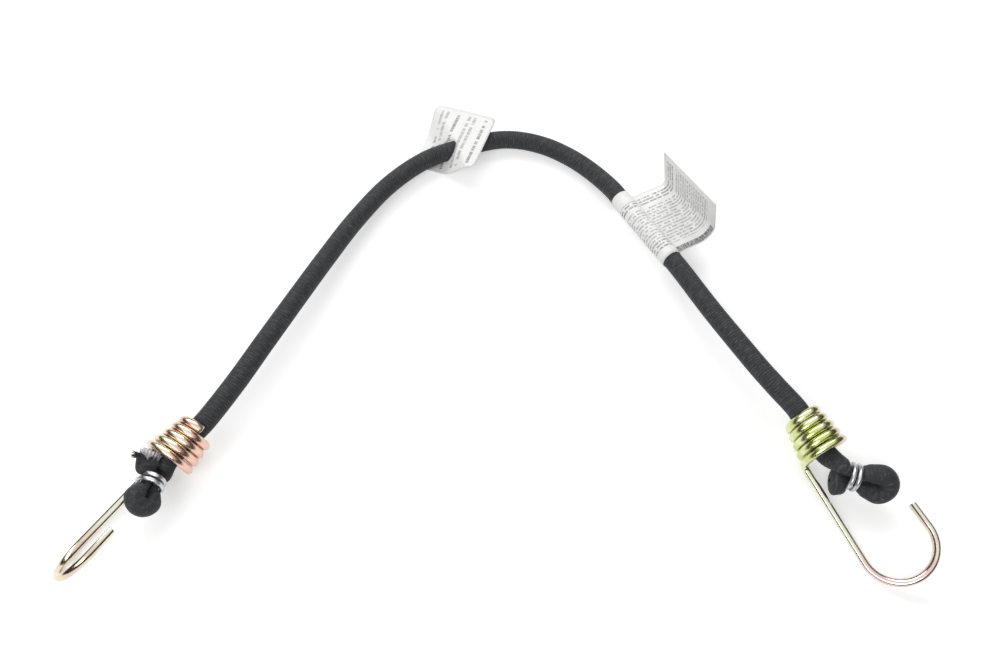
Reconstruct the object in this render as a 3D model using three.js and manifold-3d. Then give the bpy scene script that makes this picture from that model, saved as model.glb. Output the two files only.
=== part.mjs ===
// A bungee cord lying in an arch: rubber strands in a braided sheath, folded back at both ends and
// held by a clamp ring, with a bent wire hook whose cone-shaped coil sits on the cord above each fold.
// Millimetres, +Z up. The cord lies on z = 0, its arch points to +Y and its hooks to -Y.
import * as THREE from 'three';
import Module from 'manifold-3d';
import { mergeVertices } from 'three/addons/utils/BufferGeometryUtils.js';

// Cord
const cordDiameter = 9.3;
const sheathWall = 0.8;
const coreGap = 0.45; // between strands, and from the strands to the sheath
const strandsAround = 6; // round one strand in the middle
const sheathSides = 10;
const strandSides = 5;

// Wire hooks
const hookWire = 3.5;
const coilTurns = 4.45;
const coilTurnGap = 0.45;
const coilTaper = 2.9; // how much the coil's radius grows from its small end to its mouth
const swivelClearance = 0.35; // cord to the coil's small end
const coilLead = 4; // straight cord in front of the coil's small end
const shankBendRadius = 3.8;
const shankLength = 45.7; // from the coil's mouth to the start of the hook's bend
const hookBendRadius = 14.5;
const tipLength = 10.5;
const tipLeanDegrees = 3.4;
const hookSides = 8;
const stepsPerTurn = 24;

// Folded ends and their clamp rings
const neckThickness = 3.5; // one squeezed leg inside the ring, across the fold
const neckWidth = 8.0;
const neckGap = 0.5; // between the two legs inside the ring
const bulbThickness = 8.0; // one leg in the bulb, across the fold
const bulbWidth = 9.4;
const bulbGap = 0.8; // the slit between the legs
const tailThickness = 9.2; // the cut end of the tail, across the fold
const tailWidth = 9.4;
const ringWire = 2.0;
const ringTurns = 1.9;
const ringTurnGap = 0.5;
const ringClearance = 0.3;
const leadLength = 2.4; // in front of the ring the cord is this thick again, this far off the fold's middle
const leadThickness = 5.6;
const leadWidth = 9.0;
const leadOffset = 2.9;
const neckLead = 0.6; // squeezed cord past the ring, before the bulb swells
const ringSides = 6;

// Paper labels
const paperThickness = 0.35;
const wrapClearance = 0.4;
const wrapLength = 46;
const flagReach = 13; // flat part of the flag, from the wrap to the start of its curl
const flagCurlRadius = 7;
const flagCurlDegrees = 98;
const flagHeight = 16; // standing part of the flag
const flagTrim = 2; // the flag is shorter than the wrap at each end
const tagWidth = 34;
const tagHeight = 36;
const tagHoleFromLeft = 16;
const tagHoleFromBottom = 10.5;
const tagCorner = 3;
const tagTurnDegrees = 50; // of the tag's upright from the cord
const tagUnderside = 0.3; // the low side of the tag above the surface
const tagRise = 16; // length of cord over which the tag climbs past it
const tagOverCord = 0.6; // underside of the tag's high side above the cord
const holeClearance = 0.4;

// Where each coil's mouth sits, where its axis heads (from -Y towards +X), how far the axis dips
// towards the hook's bend, and how far the hook is rolled about it (0 lays the bend flat, to -X).
// The ring's middle, the way the fold points, the tilt of the fold's face and the fold's centre in front
// of the ring go with it, and where the tail's cut end lies behind the ring and out to its side.
const leftEnd = {
  mouth: [-138.2, 15.0, 11.9],
  heading: -36.8,
  dip: 3.0,
  roll: 130.7,
  ring: [-143.1, 4.1, 13.0],
  foldHeading: -11,
  foldDip: -4,
  foldTilt: -48,
  foldCentre: 7.8,
  tailBack: 9.6,
  tailFlare: 6.6,
};
const rightEnd = {
  mouth: [137.7, 18.4, 11.9],
  heading: 25.7,
  dip: 7.1,
  roll: 155.2,
  ring: [147.6, 7.7, 11.5],
  foldHeading: 74,
  foldDip: 4,
  foldTilt: 50,
  foldCentre: 10.2,
  tailBack: 8.6,
  tailFlare: 5.4,
};

// The cord's route between the two coils, with the height of its underside over the surface.
const route = [
  [-115.1, 49.4, 9.9],
  [-104.9, 70.6, 9.9],
  [-93.6, 95.4, 8.6],
  [-82.5, 120.7, 6.2],
  [-70.1, 146.6, 4.0],
  [-54.4, 171.3, 2.4],
  [-35.7, 188.9, 1.5],
  [-12.2, 199.1, 1.0],
  [1.0, 203.1, 0.2],
  [11.6, 202.9, 0.0],
  [24.3, 199.0, 0.0],
  [36.4, 191.8, 0.0],
  [47.1, 182.1, 0.4],
  [58.1, 167.7, 1.7],
  [62.0, 160.4, 2.3],
  [72.5, 140.8, 4.0],
  [82.1, 122.8, 5.6],
  [86.0, 115.5, 6.2],
  [97.9, 90.5, 8.2],
  [106.9, 73.0, 9.6],
  [115.6, 57.0, 10.6],
  [121.5, 47.7, 10.7],
];
const wrapMiddle = [72.5, 140.8]; // the wrap label is centred on the route point nearest to this
const tagMiddle = [-26.2, 193.2]; // the hole in the size tag

const cordRadius = cordDiameter / 2;
const boreRadius = cordRadius - sheathWall;
const wireRadius = hookWire / 2;
const restHeight = cordRadius * Math.cos(Math.PI / sheathSides);
const up = new THREE.Vector3(0, 0, 1);

const colours = {
  sheath: { color: 0x2f3032, roughness: 0.9, metalness: 0 },
  rubber: { color: 0xd9d4dc, roughness: 0.7, metalness: 0 },
  wire: { color: 0xc9ad5e, roughness: 0.28, metalness: 1 },
  ring: { color: 0xc4c6c8, roughness: 0.35, metalness: 1 },
  paper: { color: 0xf4f4f2, roughness: 0.85, metalness: 0 },
};

function namedMesh(name, geometry, colour) {
  const mesh = new THREE.Mesh(geometry, new THREE.MeshStandardMaterial(colours[colour]));
  mesh.name = name;
  return mesh;
}

// A unit vector that heads from -Y towards +X and dips below the horizontal, both in degrees.
function directionOf(heading, dip) {
  const turn = THREE.MathUtils.degToRad(heading);
  const drop = THREE.MathUtils.degToRad(dip);
  const level = Math.cos(drop);
  return new THREE.Vector3(level * Math.sin(turn), -level * Math.cos(turn), -Math.sin(drop));
}

// The hook's own frame: side points from the axis to the hook's tip, axis from the coil to the bend.
function hookFrame(end) {
  const axis = directionOf(end.heading, end.dip);
  const level = new THREE.Vector3().crossVectors(axis, up).normalize();
  const side = level.applyAxisAngle(axis, -THREE.MathUtils.degToRad(end.roll));
  const normal = new THREE.Vector3().crossVectors(axis, side);
  return { mouth: new THREE.Vector3(...end.mouth), axis, side, normal };
}

// The fold's own frame: along points to the bulb, across from the cord to its tail, face stands on both.
function foldFrame(end) {
  const along = directionOf(end.foldHeading, end.foldDip);
  const level = new THREE.Vector3().crossVectors(along, up).normalize();
  const across = level.applyAxisAngle(along, THREE.MathUtils.degToRad(end.foldTilt));
  const face = new THREE.Vector3().crossVectors(across, along);
  return { ring: new THREE.Vector3(...end.ring), along, across, face };
}

function roundSection(radius, sides) {
  const corners = [];
  for (let i = 0; i < sides; i += 1) {
    const angle = (i / sides) * 2 * Math.PI;
    corners.push(new THREE.Vector2(radius * Math.cos(angle), radius * Math.sin(angle)));
  }
  return new THREE.Shape(corners);
}

function sweptWire(path, diameter, sides, steps) {
  path.arcLengthDivisions = 4 * steps;
  return new THREE.ExtrudeGeometry(roundSection(diameter / 2, sides), { steps, extrudePath: path });
}

// The least distance between the surfaces of two turns of a wire, on points along its middle. Points
// closer along the wire than two thirds of the shortest turn belong to the same turn.
function leastGapToItself(path, diameter, shortestTurn) {
  const spacing = diameter / 10;
  const length = path.getLength();
  const points = path.getSpacedPoints(Math.ceil(length / spacing));
  const skip = Math.ceil(((2 / 3) * shortestTurn) / spacing);
  let least = Infinity;
  for (let i = 0; i < points.length; i += 1) {
    for (let j = i + skip; j < points.length; j += 1) {
      least = Math.min(least, points[i].distanceTo(points[j]));
    }
  }
  return least - diameter;
}

// Wire hook: one unbroken wire, wound into a cone-shaped coil, bent out of the coil's last turn into a
// shank beside the axis, then round the hook's bend to a short tip. Made along Z with its mouth at 0.
class ConeCoil extends THREE.Curve {
  constructor(smallRadius, mouthRadius, length, turns, endAngle) {
    super();
    Object.assign(this, { smallRadius, mouthRadius, length, turns, endAngle });
  }

  getPoint(t, target = new THREE.Vector3()) {
    const angle = this.endAngle - (1 - t) * this.turns * 2 * Math.PI;
    const radius = THREE.MathUtils.lerp(this.smallRadius, this.mouthRadius, t);
    return target.set(radius * Math.cos(angle), radius * Math.sin(angle), (t - 1) * this.length);
  }
}

// A round bend that starts at a point along one direction and turns towards a second, square to it.
class RoundBend extends THREE.Curve {
  constructor(start, from, towards, radius, startAngle, endAngle) {
    super();
    Object.assign(this, { start, from, towards, radius, startAngle, endAngle });
  }

  getPoint(t, target = new THREE.Vector3()) {
    const angle = THREE.MathUtils.lerp(this.startAngle, this.endAngle, t);
    const forward = this.radius * (Math.sin(angle) - Math.sin(this.startAngle));
    const turned = this.radius * (Math.cos(this.startAngle) - Math.cos(angle));
    return target.copy(this.start).addScaledVector(this.from, forward).addScaledVector(this.towards, turned);
  }

  tangentAtEnd() {
    const angle = this.endAngle;
    return this.from.clone().multiplyScalar(Math.cos(angle)).addScaledVector(this.towards, Math.sin(angle));
  }
}

const coilSmallRadius = cordRadius + swivelClearance + wireRadius;
const coilMouthRadius = coilSmallRadius + coilTaper;
const coilLength = coilTurns * (hookWire + coilTurnGap);

function hookPath() {
  const meanTurn = Math.PI * (coilSmallRadius + coilMouthRadius);
  const climb = Math.atan2(coilLength, coilTurns * meanTurn);
  const stepOut = shankBendRadius * (1 - Math.sin(climb));
  const endAngle = Math.PI - Math.atan2(stepOut, coilMouthRadius);
  const coil = new ConeCoil(coilSmallRadius, coilMouthRadius, coilLength, coilTurns, endAngle);
  const roundCoil = new THREE.Vector3(-Math.sin(endAngle), Math.cos(endAngle), 0);
  const toShank = new RoundBend(coil.getPoint(1), roundCoil, up, shankBendRadius, climb, Math.PI / 2);
  const shankStart = toShank.getPoint(1);
  const shankEnd = shankStart.clone().setZ(shankLength);
  const inwards = new THREE.Vector3(1, 0, 0);
  const lean = THREE.MathUtils.degToRad(tipLeanDegrees);
  const hookBend = new RoundBend(shankEnd, up, inwards, hookBendRadius, 0, Math.PI + lean);
  const tipStart = hookBend.getPoint(1);
  const tipEnd = tipStart.clone().addScaledVector(hookBend.tangentAtEnd(), tipLength);
  const path = new THREE.CurvePath();
  path.add(coil);
  path.add(toShank);
  path.add(new THREE.LineCurve3(shankStart, shankEnd));
  path.add(hookBend);
  path.add(new THREE.LineCurve3(tipStart, tipEnd));
  return path;
}

function wireHook(name, end) {
  const path = hookPath();
  const shortestTurn = 2 * Math.PI * coilSmallRadius;
  const steps = Math.round((path.getLength() * stepsPerTurn) / (2 * Math.PI * coilMouthRadius));
  const hook = namedMesh(name, sweptWire(path, hookWire, hookSides, steps), 'wire');
  const { mouth, axis, side, normal } = hookFrame(end);
  hook.applyMatrix4(new THREE.Matrix4().makeBasis(side, normal, axis).setPosition(mouth));
  const gap = leastGapToItself(path, hookWire, shortestTurn);
  console.log(`${name}: least gap between turns ${gap.toFixed(2)} mm`);
  return hook;
}

// Clamp ring: a silver wire wound nearly twice round the two legs of the fold, closed on them as an oval.
const ringPitch = ringWire + ringTurnGap;
const ringHalfLength = (ringPitch * ringTurns + ringWire) / 2;
const legOffset = (neckThickness + neckGap) / 2; // of a leg inside the ring from the fold's middle
const ringInnerAcross = legOffset + neckThickness / 2 + ringClearance;

// How tall the oval has to be to clear both squeezed legs.
function ringInnerHeight() {
  const samples = 90;
  let tallest = neckWidth / 2;
  for (let i = 1; i < samples; i += 1) {
    const angle = (i / samples) * (Math.PI / 2);
    const across = (legOffset + (neckThickness / 2) * Math.cos(angle)) / ringInnerAcross;
    tallest = Math.max(tallest, ((neckWidth / 2) * Math.sin(angle)) / Math.sqrt(1 - across * across));
  }
  return tallest + ringClearance;
}

class OvalCoil extends THREE.Curve {
  constructor(halfAcross, halfHeight, pitch, turns) {
    super();
    Object.assign(this, { halfAcross, halfHeight, pitch, turns });
  }

  getPoint(t, target = new THREE.Vector3()) {
    const angle = t * this.turns * 2 * Math.PI;
    const climb = (t - 0.5) * this.turns * this.pitch;
    return target.set(this.halfHeight * Math.sin(angle), this.halfAcross * Math.cos(angle), climb);
  }
}

function clampRing(name, end) {
  const halfAcross = ringInnerAcross + ringWire / 2;
  const halfHeight = ringInnerHeight() + ringWire / 2;
  const path = new OvalCoil(halfAcross, halfHeight, ringPitch, ringTurns);
  const steps = Math.round(stepsPerTurn * ringTurns);
  const ring = namedMesh(name, sweptWire(path, ringWire, ringSides, steps), 'ring');
  const { ring: middle, along, across, face } = foldFrame(end);
  ring.applyMatrix4(new THREE.Matrix4().makeBasis(face, across, along).setPosition(middle));
  const gap = leastGapToItself(path, ringWire, 2 * Math.PI * halfAcross);
  console.log(`${name}: least gap between turns ${gap.toFixed(2)} mm`);
  return ring;
}

// The cord's stations: points on its middle, each with the half thickness across the fold, the half
// width along the fold's face, the direction of that face, and the steps up to the next station.
function station(point, thickness, width, face, steps) {
  return { point, thickness: thickness / 2, width: width / 2, face, steps };
}

// One folded end, from the coil's mouth through the ring, round the fold and back through the ring to
// the cut end of the tail.
function foldStations(end) {
  const { ring, along, across, face } = foldFrame(end);
  const place = (forward, sideways) => (
    ring.clone().addScaledVector(along, forward).addScaledVector(across, sideways)
  );
  const bulbOffset = (bulbThickness + bulbGap) / 2;
  const neckEnd = ringHalfLength + neckLead;
  const neck = (forward, sideways, steps) => (
    station(place(forward, sideways), neckThickness, neckWidth, face, steps)
  );
  const bulb = (forward, sideways, steps) => (
    station(place(forward, sideways), bulbThickness, bulbWidth, face, steps)
  );
  const stations = [
    station(place(-ringHalfLength - leadLength, -leadOffset), leadThickness, leadWidth, face, 3),
    neck(-ringHalfLength, -legOffset, 2),
    neck(neckEnd, -legOffset, 3),
  ];
  for (let degrees = -75; degrees <= 75; degrees += 30) {
    const angle = THREE.MathUtils.degToRad(degrees);
    const forward = end.foldCentre + bulbOffset * Math.cos(angle);
    stations.push(bulb(forward, bulbOffset * Math.sin(angle), degrees < 75 ? 1 : 3));
  }
  stations.push(
    neck(neckEnd, legOffset, 2),
    neck(-ringHalfLength, legOffset, 2),
    station(place(-end.tailBack, end.tailFlare), tailThickness, tailWidth, face, 1),
  );
  return stations;
}

// The straight run of cord through a coil, from its small end to its mouth.
function coilStations(end) {
  const { mouth, axis } = hookFrame(end);
  const placesAndSteps = [[coilLength + coilLead, 1], [coilLength, 1], [coilLength / 2, 2], [0, 5]];
  return placesAndSteps.map(([back, steps]) => {
    const point = mouth.clone().addScaledVector(axis, -back);
    return station(point, cordDiameter, cordDiameter, up, steps);
  });
}

function cordStations() {
  const reversed = (stations) => {
    const turned = stations.slice().reverse();
    return turned.map((s, i) => ({ ...s, steps: (stations[stations.length - 2 - i] ?? s).steps }));
  };
  const arch = route.map(([x, y, lift]) => {
    const point = new THREE.Vector3(x, y, lift + restHeight);
    return station(point, cordDiameter, cordDiameter, up, 1);
  });
  const left = reversed([...coilStations(leftEnd), ...foldStations(leftEnd)]);
  const right = [...coilStations(rightEnd), ...foldStations(rightEnd)];
  return [...left, ...arch, ...right];
}

// Cross-sections along the cord: the middle point and the two half axes of the oval at each step.
function cordSections() {
  const stations = cordStations();
  const curve = new THREE.CatmullRomCurve3(stations.map((s) => s.point), false, 'centripetal');
  const last = stations.length - 1;
  const sections = [];
  for (let i = 0; i <= last; i += 1) {
    const here = stations[i];
    const next = stations[Math.min(i + 1, last)];
    const steps = i === last ? 1 : here.steps;
    for (let k = 0; k < steps; k += 1) {
      const t = (i + k / steps) / last;
      const share = THREE.MathUtils.smoothstep(k / steps, 0, 1);
      const tangent = curve.getTangent(t);
      const face = here.face.clone().lerp(next.face, share);
      const across = new THREE.Vector3().crossVectors(face, tangent).normalize();
      const level = new THREE.Vector3().crossVectors(tangent, across);
      sections.push({
        middle: curve.getPoint(t),
        across,
        level,
        thickness: THREE.MathUtils.lerp(here.thickness, next.thickness, share),
        width: THREE.MathUtils.lerp(here.width, next.width, share),
      });
    }
  }
  return sections;
}

// A point of the round cord, carried to where it lies in a squeezed section. The wall keeps its
// thickness and what is inside is squeezed with the bore.
function inSection(section, x, y, scaleX, scaleY) {
  return section.middle
    .clone()
    .addScaledVector(section.across, x * scaleX)
    .addScaledVector(section.level, y * scaleY);
}

function ringOfPoints(sides, start) {
  const points = [];
  for (let i = 0; i < sides; i += 1) {
    const angle = start + (i / sides) * 2 * Math.PI;
    points.push([Math.cos(angle), Math.sin(angle)]);
  }
  return points;
}

// A closed skin over rows of points, each row a closed ring. A second set of rows is the bore.
function loftGeometry(rows, boreRows) {
  const sides = rows[0].length;
  const positions = [];
  const triangle = (a, b, c) => positions.push(...a.toArray(), ...b.toArray(), ...c.toArray());
  const quad = (a, b, c, d) => {
    triangle(a, b, c);
    triangle(a, c, d);
  };
  const wall = (from, to, inward) => {
    for (let i = 0; i < sides; i += 1) {
      const j = (i + 1) % sides;
      if (inward) {
        quad(from[j], from[i], to[i], to[j]);
      } else {
        quad(from[i], from[j], to[j], to[i]);
      }
    }
  };
  for (let r = 0; r + 1 < rows.length; r += 1) {
    wall(rows[r], rows[r + 1], false);
    if (boreRows) {
      wall(boreRows[r], boreRows[r + 1], true);
    }
  }
  const first = rows[0];
  const final = rows[rows.length - 1];
  if (boreRows) {
    wall(boreRows[0], first, false);
    wall(final, boreRows[boreRows.length - 1], false);
  } else {
    for (let i = 1; i + 1 < sides; i += 1) {
      triangle(first[0], first[i + 1], first[i]);
      triangle(final[0], final[i], final[i + 1]);
    }
  }
  const geometry = new THREE.BufferGeometry();
  geometry.setAttribute('position', new THREE.Float32BufferAttribute(positions, 3));
  geometry.computeVertexNormals();
  return geometry;
}

const sections = cordSections();
const boreScale = (section) => [
  (section.thickness - sheathWall) / boreRadius,
  (section.width - sheathWall) / boreRadius,
];

// Braided sheath: a hollow sleeve, open at both cut ends. One of its flats faces down.
function braidedSheath() {
  const corners = ringOfPoints(sheathSides, Math.PI / sheathSides - Math.PI / 2);
  const outside = sections.map((s) => corners.map(([x, y]) => inSection(s, x, y, s.thickness, s.width)));
  const bore = sections.map((s) => {
    const [scaleX, scaleY] = boreScale(s);
    return corners.map(([x, y]) => inSection(s, x * boreRadius, y * boreRadius, scaleX, scaleY));
  });
  return namedMesh('braided_sheath', loftGeometry(outside, bore), 'sheath');
}

// Rubber core: one strand in the middle and the others packed round it, all as long as the sheath.
const boreFlat = boreRadius * Math.cos(Math.PI / sheathSides);
const strandRadius = (boreFlat - 2 * coreGap) / 3;

function coreStrand(name, x, y) {
  const corners = ringOfPoints(strandSides, Math.atan2(y, x));
  const rows = sections.map((s) => {
    const [scaleX, scaleY] = boreScale(s);
    return corners.map(([cx, cy]) => (
      inSection(s, x + cx * strandRadius, y + cy * strandRadius, scaleX, scaleY)
    ));
  });
  return namedMesh(name, loftGeometry(rows), 'rubber');
}

function coreStrands() {
  const strands = [coreStrand('core_strand_1', 0, 0)];
  const ringRadius = 2 * strandRadius + coreGap;
  ringOfPoints(strandsAround, 0).forEach(([x, y], i) => {
    strands.push(coreStrand(`core_strand_${i + 2}`, x * ringRadius, y * ringRadius));
  });
  return strands;
}

const archPoint = ([x, y, lift]) => new THREE.Vector3(x, y, lift + restHeight);

// Wrap label: a strip of paper stuck round the cord and to itself, with its two plies standing off as a
// flag that first lies flat and then curls up. Made along Z, with the flag to +X.
function wrapLabel() {
  const inner = cordRadius + wrapClearance;
  const outer = inner + paperThickness;
  const half = paperThickness / 2;
  const curlEnd = THREE.MathUtils.degToRad(flagCurlDegrees) - Math.PI / 2;
  const curlX = inner + flagReach;
  const lift = new THREE.Vector2(-Math.sin(curlEnd), Math.cos(curlEnd)).multiplyScalar(flagHeight);
  const curl = (radius, angle) => new THREE.Vector2(
    curlX + radius * Math.cos(angle),
    flagCurlRadius + radius * Math.sin(angle),
  );
  const tipOut = curl(flagCurlRadius + half, curlEnd).add(lift);
  const tipIn = curl(flagCurlRadius - half, curlEnd).add(lift);
  const flag = new THREE.Shape();
  const root = (inner + outer) / 2;
  flag.moveTo(root, half);
  flag.lineTo(root, -half);
  flag.lineTo(curlX, -half);
  flag.absarc(curlX, flagCurlRadius, flagCurlRadius + half, -Math.PI / 2, curlEnd, false);
  flag.lineTo(tipOut.x, tipOut.y);
  flag.lineTo(tipIn.x, tipIn.y);
  flag.absarc(curlX, flagCurlRadius, flagCurlRadius - half, curlEnd, -Math.PI / 2, true);
  const wrap = new THREE.Shape();
  wrap.absarc(0, 0, outer, 0, 2 * Math.PI, false);
  const bore = new THREE.Path();
  bore.absarc(0, 0, inner, 0, 2 * Math.PI, true);
  wrap.holes.push(bore);
  const curveSegments = 10;
  const wrapSolid = solidOf(new THREE.ExtrudeGeometry(wrap, {
    depth: wrapLength, bevelEnabled: false, curveSegments: 2 * curveSegments,
  }).translate(0, 0, -wrapLength / 2));
  const flagLength = wrapLength - 2 * flagTrim;
  const flagSolid = solidOf(new THREE.ExtrudeGeometry(flag, {
    depth: flagLength, bevelEnabled: false, curveSegments,
  }).translate(0, 0, -flagLength / 2));
  const label = namedMesh('wrap_label', geometryOf(wrapSolid.add(flagSolid)), 'paper');
  const toMiddle = ([x, y]) => Math.hypot(x - wrapMiddle[0], y - wrapMiddle[1]);
  const nearest = route.slice(1, -1).reduce((best, p) => (toMiddle(p) < toMiddle(best) ? p : best));
  const spot = route.indexOf(nearest);
  const along = archPoint(route[spot + 1]).sub(archPoint(route[spot - 1])).normalize();
  const outwards = new THREE.Vector3().crossVectors(up, along).normalize();
  const upright = new THREE.Vector3().crossVectors(along, outwards);
  label.applyMatrix4(
    new THREE.Matrix4().makeBasis(outwards, upright, along).setPosition(archPoint(nearest)),
  );
  return label;
}

// Size tag: a card with a hole in it, threaded on the cord, so that it starts under the cord on one
// side of the hole and lies over it on the other.
function sizeTag() {
  const tagRoute = route.filter(([x, y]) => Math.hypot(x - tagMiddle[0], y - tagMiddle[1]) < tagWidth);
  const before = archPoint(tagRoute[0]);
  const after = archPoint(tagRoute[tagRoute.length - 1]);
  const along = after.clone().sub(before).setZ(0).normalize();
  const sideways = new THREE.Vector3().crossVectors(up, along);
  const low = tagUnderside + paperThickness / 2;
  const highestLift = Math.max(...tagRoute.map(([, , lift]) => lift));
  const high = highestLift + restHeight + cordRadius + tagOverCord + paperThickness / 2;
  const reach = Math.hypot(tagWidth, tagHeight);
  const climb = (x) => low + (high - low) * THREE.MathUtils.smootherstep(x, -tagRise / 2, tagRise / 2);
  const profile = [-reach];
  const climbSteps = 12;
  for (let i = 0; i <= climbSteps; i += 1) {
    profile.push((i / climbSteps - 0.5) * tagRise);
  }
  profile.push(reach);
  const top = profile.map((x) => new THREE.Vector2(x, climb(x) + paperThickness / 2));
  const bottom = profile.map((x) => new THREE.Vector2(x, climb(x) - paperThickness / 2)).reverse();
  const sheet = new THREE.ExtrudeGeometry(new THREE.Shape([...top, ...bottom]), {
    depth: 2 * reach, bevelEnabled: false,
  }).translate(0, 0, -reach).rotateX(Math.PI / 2);
  const card = new THREE.ExtrudeGeometry(roundedCard(), { depth: 2 * reach, bevelEnabled: false })
    .translate(0, 0, -reach)
    .rotateZ(THREE.MathUtils.degToRad(tagTurnDegrees) - Math.PI / 2);
  const intoTag = new THREE.Matrix4().makeBasis(along, sideways, up).setPosition(...tagMiddle, 0);
  const holePath = new THREE.CatmullRomCurve3(
    tagRoute.map((p) => archPoint(p).applyMatrix4(intoTag.clone().invert())),
    false,
    'centripetal',
  );
  const hole = sweptWire(holePath, cordDiameter + 2 * holeClearance, 2 * sheathSides, 12);
  const solid = solidOf(sheet).intersect(solidOf(card)).subtract(solidOf(hole));
  const tag = namedMesh('size_tag', geometryOf(solid), 'paper');
  tag.applyMatrix4(intoTag);
  return tag;
}

function roundedCard() {
  const left = -tagHoleFromLeft;
  const bottom = -tagHoleFromBottom;
  const card = new THREE.Shape();
  card.absarc(left + tagWidth - tagCorner, bottom + tagCorner, tagCorner, -Math.PI / 2, 0, false);
  card.absarc(left + tagWidth - tagCorner, bottom + tagHeight - tagCorner, tagCorner, 0, Math.PI / 2, false);
  card.absarc(left + tagCorner, bottom + tagHeight - tagCorner, tagCorner, Math.PI / 2, Math.PI, false);
  card.absarc(left + tagCorner, bottom + tagCorner, tagCorner, Math.PI, 1.5 * Math.PI, false);
  return card;
}

// Solids for joining and cutting, and back again.
const wasm = await Module();
wasm.setup();

function solidOf(geometry) {
  const bare = geometry.index ? geometry.toNonIndexed() : geometry.clone();
  bare.deleteAttribute('normal');
  bare.deleteAttribute('uv');
  const merged = mergeVertices(bare, 1e-4);
  return new wasm.Manifold(new wasm.Mesh({
    numProp: 3,
    vertProperties: new Float32Array(merged.attributes.position.array),
    triVerts: new Uint32Array(merged.index.array),
  }));
}

function geometryOf(solid) {
  const mesh = solid.getMesh();
  const geometry = new THREE.BufferGeometry();
  geometry.setAttribute('position', new THREE.Float32BufferAttribute(mesh.vertProperties, 3));
  geometry.setIndex(new THREE.Uint32BufferAttribute(mesh.triVerts, 1));
  return geometry;
}

const bungeeCord = new THREE.Group();
bungeeCord.add(
  braidedSheath(),
  ...coreStrands(),
  wireHook('left_hook', leftEnd),
  wireHook('right_hook', rightEnd),
  clampRing('left_clamp_ring', leftEnd),
  clampRing('right_clamp_ring', rightEnd),
  sizeTag(),
  wrapLabel(),
);

export default bungeeCord;
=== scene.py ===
"""A bungee cord lying in an arch on a white table: a braided sleeve round rubber strands, folded back
and clamped at both ends, with a bent wire hook on each end and two paper labels."""

import math
import random

import bmesh
import bpy
from mathutils import Matrix, Vector
from mathutils.geometry import interpolate_bezier


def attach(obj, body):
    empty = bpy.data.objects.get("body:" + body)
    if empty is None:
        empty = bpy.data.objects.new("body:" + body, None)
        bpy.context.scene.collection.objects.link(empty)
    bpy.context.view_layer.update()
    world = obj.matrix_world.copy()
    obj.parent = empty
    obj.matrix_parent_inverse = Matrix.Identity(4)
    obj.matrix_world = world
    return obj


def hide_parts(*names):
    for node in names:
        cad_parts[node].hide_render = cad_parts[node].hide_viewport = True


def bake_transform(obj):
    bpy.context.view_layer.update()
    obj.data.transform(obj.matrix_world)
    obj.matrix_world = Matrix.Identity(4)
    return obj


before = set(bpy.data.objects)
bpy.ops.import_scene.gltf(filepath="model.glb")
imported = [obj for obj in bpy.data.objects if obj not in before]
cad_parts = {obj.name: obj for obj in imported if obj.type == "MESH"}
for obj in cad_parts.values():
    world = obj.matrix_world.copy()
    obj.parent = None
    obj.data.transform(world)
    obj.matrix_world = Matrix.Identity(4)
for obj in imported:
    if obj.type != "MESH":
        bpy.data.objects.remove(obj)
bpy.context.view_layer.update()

# Camera: the photograph looks down at the table from the hooks' side, 58 degrees below level, with a
# lens of 950 pixels on a picture 1000 pixels wide.
MM = 0.001
PICTURE_WIDTH = 1000
LENS_PIXELS = 950
SENSOR_WIDTH = 36.0
LOOK_DOWN = 58.0
EYE = Vector((1.0, -150.8, 377.4))

camera_data = bpy.data.cameras.new("camera")
camera_data.sensor_fit = "HORIZONTAL"
camera_data.sensor_width = SENSOR_WIDTH
camera_data.lens = LENS_PIXELS / PICTURE_WIDTH * SENSOR_WIDTH
camera = bpy.data.objects.new("camera", camera_data)
camera.location = EYE * MM
camera.rotation_euler = (math.radians(90 - LOOK_DOWN), 0, 0)
bpy.context.scene.collection.objects.link(camera)
bpy.context.scene.camera = camera

# Braided sleeve: a tight tube of dark polyester yarn, woven round the stretched core and bunched into
# fine cross ribs when it relaxes. It runs from one cut end to the other, through both folds and rings.
CORD_DIAMETER = 9.3
SLEEVE_WALL = 0.8
SOLID_SIDES = 10  # flats round the faceted solid, which lies on one: the round cord's middle is as low
REST_HEIGHT = CORD_DIAMETER / 2 * math.cos(math.pi / SOLID_SIDES)
COIL_TURNS = 4.45
COIL_PITCH = 3.95
COIL_LENGTH = COIL_TURNS * COIL_PITCH
COIL_LEAD = 4.0
RING_HALF_LENGTH = 3.375
LEAD_LENGTH = 2.4
LEAD_OFFSET = 3.3
NECK_HALF_LENGTH = 2.6
LEG_OFFSET = 2.0
COLLAR_FORWARD = 4.3  # just past the ring, where the cord swells again
COLLAR_OFFSET = 3.05
SHOULDER_FORWARD = 6.6
SHOULDER_OFFSET = 3.75
TAIL_ROOT_BACK = 5.2
TAIL_ROOT_SHARE = 0.85
BULB_TURNS = range(-75, 76, 30)  # degrees round the fold
ROUND = (CORD_DIAMETER, CORD_DIAMETER)  # thickness across the fold, width along its face
LEAD = (7.4, 9.2)
NECK = (3.5, 8.0)
COLLAR = (6.0, 8.8)
SHOULDER = (7.4, 9.2)
WELD = 1e-5  # points closer than this become one
UP = Vector((0, 0, 1))

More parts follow.
